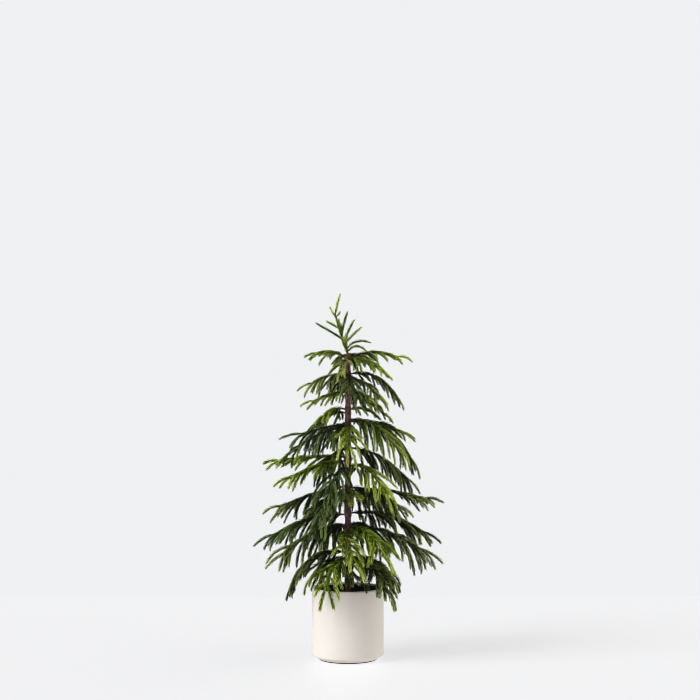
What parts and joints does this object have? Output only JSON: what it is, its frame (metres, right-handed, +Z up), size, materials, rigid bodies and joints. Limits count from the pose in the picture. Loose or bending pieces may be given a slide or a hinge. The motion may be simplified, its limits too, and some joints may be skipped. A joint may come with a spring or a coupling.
{
  "type": "artificial tabletop tree",
  "caption": "Artificial tabletop pine tree: arching wired fronds in whorls on a slim bark-covered trunk, standing in a round matte pot.",
  "frame": {"origin": "centre of the base pad's underside, on the trunk's axis", "axes": "+Z up along the trunk, -Y towards the front, +X to the right of the front"},
  "size_m": [0.4659, 0.3375, 0.9096],
  "materials": {
    "pot_ceramic": "matte",
    "felt": "matte",
    "liner_plastic": "matte",
    "cement": "matte",
    "foam": "matte",
    "soil": "matte",
    "steel": "satin",
    "bark": "matte",
    "foliage_bright": "satin",
    "foliage_green": "satin",
    "foliage_dark": "satin",
    "foliage_blue": "satin"
  },
  "bodies": {
    "planter": {"base_pad": "felt", "pot": "pot_ceramic", "liner_pot": "liner_plastic", "ballast": "cement", "foam_plug": "foam", "faux_soil": "soil", "trunk_rod": "steel", "trunk_bark": "bark"},
    "leader": {"leader": "foliage_bright"},
    "frond_1a": {"frond_1a": "foliage_bright"},
    "frond_1b": {"frond_1b": "foliage_bright"},
    "frond_1c": {"frond_1c": "foliage_bright"},
    "frond_1d": {"frond_1d": "foliage_bright"},
    "frond_1e": {"frond_1e": "foliage_green"},
    "frond_2a": {"frond_2a": "foliage_green"},
    "frond_2b": {"frond_2b": "foliage_blue"},
    "frond_2c": {"frond_2c": "foliage_green"},
    "frond_2d": {"frond_2d": "foliage_dark"},
    "frond_2e": {"frond_2e": "foliage_dark"},
    "frond_3a": {"frond_3a": "foliage_bright"},
    "frond_3b": {"frond_3b": "foliage_green"},
    "frond_3c": {"frond_3c": "foliage_dark"},
    "frond_4a": {"frond_4a": "foliage_bright"},
    "frond_4b": {"frond_4b": "foliage_green"},
    "frond_4c": {"frond_4c": "foliage_dark"},
    "frond_5a": {"frond_5a": "foliage_blue"},
    "frond_5b": {"frond_5b": "foliage_blue"},
    "frond_5c": {"frond_5c": "foliage_bright"},
    "frond_5d": {"frond_5d": "foliage_green"},
    "frond_5e": {"frond_5e": "foliage_dark"},
    "frond_5f": {"frond_5f": "foliage_green"},
    "frond_5g": {"frond_5g": "foliage_dark"},
    "frond_6a": {"frond_6a": "foliage_bright"},
    "frond_6b": {"frond_6b": "foliage_bright"},
    "frond_6c": {"frond_6c": "foliage_blue"},
    "frond_6d": {"frond_6d": "foliage_bright"},
    "frond_6e": {"frond_6e": "foliage_dark"},
    "frond_6f": {"frond_6f": "foliage_dark"},
    "frond_7a": {"frond_7a": "foliage_dark"},
    "frond_7b": {"frond_7b": "foliage_blue"},
    "frond_7c": {"frond_7c": "foliage_bright"},
    "frond_7d": {"frond_7d": "foliage_dark"},
    "frond_7e": {"frond_7e": "foliage_dark"},
    "frond_7f": {"frond_7f": "foliage_dark"},
    "frond_7g": {"frond_7g": "foliage_dark"},
    "frond_8a": {"frond_8a": "foliage_blue"},
    "frond_8b": {"frond_8b": "foliage_dark"},
    "frond_8c": {"frond_8c": "foliage_bright"},
    "frond_8d": {"frond_8d": "foliage_bright"},
    "frond_8e": {"frond_8e": "foliage_dark"},
    "frond_8f": {"frond_8f": "foliage_dark"},
    "frond_8g": {"frond_8g": "foliage_dark"},
    "frond_8h": {"frond_8h": "foliage_dark"},
    "frond_9a": {"frond_9a": "foliage_dark"},
    "frond_9b": {"frond_9b": "foliage_bright"},
    "frond_9c": {"frond_9c": "foliage_dark"},
    "frond_9d": {"frond_9d": "foliage_dark"},
    "frond_9e": {"frond_9e": "foliage_dark"},
    "frond_9f": {"frond_9f": "foliage_dark"},
    "frond_9g": {"frond_9g": "foliage_dark"}
  },
  "joints": [
    {"name": "bend_leader", "type": "hinge", "parent": "planter", "child": "leader", "pos_m": [0, 0, 0.759], "axis": [0, 1, 0], "range_deg": [-7, 7]},
    {"name": "bend_1a", "type": "hinge", "parent": "planter", "child": "frond_1a", "pos_m": [-0.01051, 0, 0.754], "axis": [0, 1, 0], "range_deg": [-7, 7]},
    {"name": "bend_1b", "type": "hinge", "parent": "planter", "child": "frond_1b", "pos_m": [0.0105, 0.00037, 0.754], "axis": [0.0349, -0.9994, 0], "range_deg": [-7, 7]},
    {"name": "bend_1c", "type": "hinge", "parent": "planter", "child": "frond_1c", "pos_m": [0.00872, -0.00588, 0.75], "axis": [-0.5592, -0.829, 0], "range_deg": [-7, 7]},
    {"name": "bend_1d", "type": "hinge", "parent": "planter", "child": "frond_1d", "pos_m": [-0.0036, -0.00989, 0.746], "axis": [-0.9397, 0.342, 0], "range_deg": [-7, 7]},
    {"name": "bend_1e", "type": "hinge", "parent": "planter", "child": "frond_1e", "pos_m": [0.0011, 0.01045, 0.754], "axis": [0.9945, -0.1045, 0], "range_deg": [-7, 7]},
    {"name": "bend_2a", "type": "hinge", "parent": "planter", "child": "frond_2a", "pos_m": [-0.01047, -0.00185, 0.708], "axis": [-0.1736, 0.9848, 0], "range_deg": [-7, 7]},
    {"name": "bend_2b", "type": "hinge", "parent": "planter", "child": "frond_2b", "pos_m": [0.00111, -0.01056, 0.712], "axis": [-0.9945, -0.1045, 0], "range_deg": [-7, 7]},
    {"name": "bend_2c", "type": "hinge", "parent": "planter", "child": "frond_2c", "pos_m": [0.00791, -0.00713, 0.7], "axis": [-0.6691, -0.7431, 0], "range_deg": [-7, 7]},
    {"name": "bend_2d", "type": "hinge", "parent": "planter", "child": "frond_2d", "pos_m": [0.01035, -0.00239, 0.712], "axis": [-0.225, -0.9744, 0], "range_deg": [-7, 7]},
    {"name": "bend_2e", "type": "hinge", "parent": "planter", "child": "frond_2e", "pos_m": [-0.00221, 0.01041, 0.704], "axis": [0.9781, 0.2079, 0], "range_deg": [-7, 7]},
    {"name": "bend_3a", "type": "hinge", "parent": "planter", "child": "frond_3a", "pos_m": [-0.00981, -0.00437, 0.666], "axis": [-0.4067, 0.9135, 0], "range_deg": [-7, 7]},
    {"name": "bend_3b", "type": "hinge", "parent": "planter", "child": "frond_3b", "pos_m": [0.01029, -0.00315, 0.656], "axis": [-0.2924, -0.9563, 0], "range_deg": [-7, 7]},
    {"name": "bend_3c", "type": "hinge", "parent": "planter", "child": "frond_3c", "pos_m": [0.00504, 0.00948, 0.668], "axis": [0.8829, -0.4695, 0], "range_deg": [-7, 7]},
    {"name": "bend_4a", "type": "hinge", "parent": "planter", "child": "frond_4a", "pos_m": [-0.01019, -0.00371, 0.624], "axis": [-0.342, 0.9397, 0], "range_deg": [-7, 7]},
    {"name": "bend_4b", "type": "hinge", "parent": "planter", "child": "frond_4b", "pos_m": [0.01052, -0.00262, 0.624], "axis": [-0.2419, -0.9703, 0], "range_deg": [-7, 7]},
    {"name": "bend_4c", "type": "hinge", "parent": "planter", "child": "frond_4c", "pos_m": [-0.00901, 0.00608, 0.614], "axis": [0.5592, 0.829, 0], "range_deg": [-7, 7]},
    {"name": "bend_5a", "type": "hinge", "parent": "planter", "child": "frond_5a", "pos_m": [-0.01087, -0.00134, 0.584], "axis": [-0.1219, 0.9925, 0], "range_deg": [-7, 7]},
    {"name": "bend_5b", "type": "hinge", "parent": "planter", "child": "frond_5b", "pos_m": [-0.0095, -0.00549, 0.576], "axis": [-0.5, 0.866, 0], "range_deg": [-7, 7]},
    {"name": "bend_5c", "type": "hinge", "parent": "planter", "child": "frond_5c", "pos_m": [0, -0.01096, 0.58], "axis": [-1, 0, 0], "range_deg": [-7, 7]},
    {"name": "bend_5d", "type": "hinge", "parent": "planter", "child": "frond_5d", "pos_m": [0.00861, -0.00673, 0.594], "axis": [-0.6157, -0.788, 0], "range_deg": [-7, 7]},
    {"name": "bend_5e", "type": "hinge", "parent": "planter", "child": "frond_5e", "pos_m": [0.01038, -0.00337, 0.598], "axis": [-0.309, -0.9511, 0], "range_deg": [-7, 7]},
    {"name": "bend_5f", "type": "hinge", "parent": "planter", "child": "frond_5f", "pos_m": [0.00999, 0.00445, 0.592], "axis": [0.4067, -0.9135, 0], "range_deg": [-7, 7]},
    {"name": "bend_5g", "type": "hinge", "parent": "planter", "child": "frond_5g", "pos_m": [-0.00228, 0.01071, 0.584], "axis": [0.9781, 0.2079, 0], "range_deg": [-7, 7]},
    {"name": "bend_6a", "type": "hinge", "parent": "planter", "child": "frond_6a", "pos_m": [-0.01102, 0.00175, 0.504], "axis": [0.1564, 0.9877, 0], "range_deg": [-7, 7]},
    {"name": "bend_6b", "type": "hinge", "parent": "planter", "child": "frond_6b", "pos_m": [-0.01014, -0.00473, 0.494], "axis": [-0.4226, 0.9063, 0], "range_deg": [-7, 7]},
    {"name": "bend_6c", "type": "hinge", "parent": "planter", "child": "frond_6c", "pos_m": [-0.00492, -0.0101, 0.476], "axis": [-0.8988, 0.4384, 0], "range_deg": [-7, 7]},
    {"name": "bend_6d", "type": "hinge", "parent": "planter", "child": "frond_6d", "pos_m": [0.00691, -0.00884, 0.482], "axis": [-0.788, -0.6157, 0], "range_deg": [-7, 7]},
    {"name": "bend_6e", "type": "hinge", "parent": "planter", "child": "frond_6e", "pos_m": [0.01067, 0.00306, 0.526], "axis": [0.2756, -0.9613, 0], "range_deg": [-7, 7]},
    {"name": "bend_6f", "type": "hinge", "parent": "planter", "child": "frond_6f", "pos_m": [-0.00522, 0.00981, 0.524], "axis": [0.8829, 0.4695, 0], "range_deg": [-7, 7]},
    {"name": "bend_7a", "type": "hinge", "parent": "planter", "child": "frond_7a", "pos_m": [-0.01114, -0.00217, 0.43], "axis": [-0.1908, 0.9816, 0], "range_deg": [-7, 7]},
    {"name": "bend_7b", "type": "hinge", "parent": "planter", "child": "frond_7b", "pos_m": [-0.00761, -0.00845, 0.422], "axis": [-0.7431, 0.6691, 0], "range_deg": [-7, 7]},
    {"name": "bend_7c", "type": "hinge", "parent": "planter", "child": "frond_7c", "pos_m": [0.00159, -0.01128, 0.416], "axis": [-0.9903, -0.1392, 0], "range_deg": [-7, 7]},
    {"name": "bend_7d", "type": "hinge", "parent": "planter", "child": "frond_7d", "pos_m": [0.01003, -0.00533, 0.428], "axis": [-0.4695, -0.8829, 0], "range_deg": [-7, 7]},
    {"name": "bend_7e", "type": "hinge", "parent": "planter", "child": "frond_7e", "pos_m": [0.01127, -0.00158, 0.42], "axis": [-0.1392, -0.9903, 0], "range_deg": [-7, 7]},
    {"name": "bend_7f", "type": "hinge", "parent": "planter", "child": "frond_7f", "pos_m": [0.00792, 0.0082, 0.41], "axis": [0.7193, -0.6947, 0], "range_deg": [-7, 7]},
    {"name": "bend_7g", "type": "hinge", "parent": "planter", "child": "frond_7g", "pos_m": [-0.00671, 0.00924, 0.406], "axis": [0.809, 0.5878, 0], "range_deg": [-7, 7]},
    {"name": "bend_8a", "type": "hinge", "parent": "planter", "child": "frond_8a", "pos_m": [-0.01142, 0.00161, 0.36], "axis": [0.1392, 0.9903, 0], "range_deg": [-7, 7]},
    {"name": "bend_8b", "type": "hinge", "parent": "planter", "child": "frond_8b", "pos_m": [-0.00984, -0.00615, 0.332], "axis": [-0.5299, 0.848, 0], "range_deg": [-7, 7]},
    {"name": "bend_8c", "type": "hinge", "parent": "planter", "child": "frond_8c", "pos_m": [-0.00321, -0.01119, 0.32], "axis": [-0.9613, 0.2756, 0], "range_deg": [-7, 7]},
    {"name": "bend_8d", "type": "hinge", "parent": "planter", "child": "frond_8d", "pos_m": [0.00683, -0.0094, 0.328], "axis": [-0.809, -0.5878, 0], "range_deg": [-7, 7]},
    {"name": "bend_8e", "type": "hinge", "parent": "planter", "child": "frond_8e", "pos_m": [0.01084, -0.00416, 0.332], "axis": [-0.3584, -0.9336, 0], "range_deg": [-7, 7]},
    {"name": "bend_8f", "type": "hinge", "parent": "planter", "child": "frond_8f", "pos_m": [0.01118, 0.00279, 0.364], "axis": [0.2419, -0.9703, 0], "range_deg": [-7, 7]},
    {"name": "bend_8g", "type": "hinge", "parent": "planter", "child": "frond_8g", "pos_m": [0.00545, 0.01025, 0.332], "axis": [0.8829, -0.4695, 0], "range_deg": [-7, 7]},
    {"name": "bend_8h", "type": "hinge", "parent": "planter", "child": "frond_8h", "pos_m": [-0.00545, 0.01026, 0.328], "axis": [0.8829, 0.4695, 0], "range_deg": [-7, 7]},
    {"name": "bend_9a", "type": "hinge", "parent": "planter", "child": "frond_9a", "pos_m": [-0.01172, -0.00123, 0.266], "axis": [-0.1045, 0.9945, 0], "range_deg": [-7, 7]},
    {"name": "bend_9b", "type": "hinge", "parent": "planter", "child": "frond_9b", "pos_m": [-0.00555, -0.01043, 0.252], "axis": [-0.8829, 0.4695, 0], "range_deg": [-7, 7]},
    {"name": "bend_9c", "type": "hinge", "parent": "planter", "child": "frond_9c", "pos_m": [0.00103, -0.01176, 0.256], "axis": [-0.9962, -0.0872, 0], "range_deg": [-7, 7]},
    {"name": "bend_9d", "type": "hinge", "parent": "planter", "child": "frond_9d", "pos_m": [0.00776, -0.00893, 0.248], "axis": [-0.7547, -0.6561, 0], "range_deg": [-7, 7]},
    {"name": "bend_9e", "type": "hinge", "parent": "planter", "child": "frond_9e", "pos_m": [0.0111, -0.00404, 0.254], "axis": [-0.342, -0.9397, 0], "range_deg": [-7, 7]},
    {"name": "bend_9f", "type": "hinge", "parent": "planter", "child": "frond_9f", "pos_m": [0.00906, 0.00761, 0.246], "axis": [0.6428, -0.766, 0], "range_deg": [-7, 7]},
    {"name": "bend_9g", "type": "hinge", "parent": "planter", "child": "frond_9g", "pos_m": [-0.00662, 0.00981, 0.246], "axis": [0.829, 0.5592, 0], "range_deg": [-7, 7]}
  ]
}
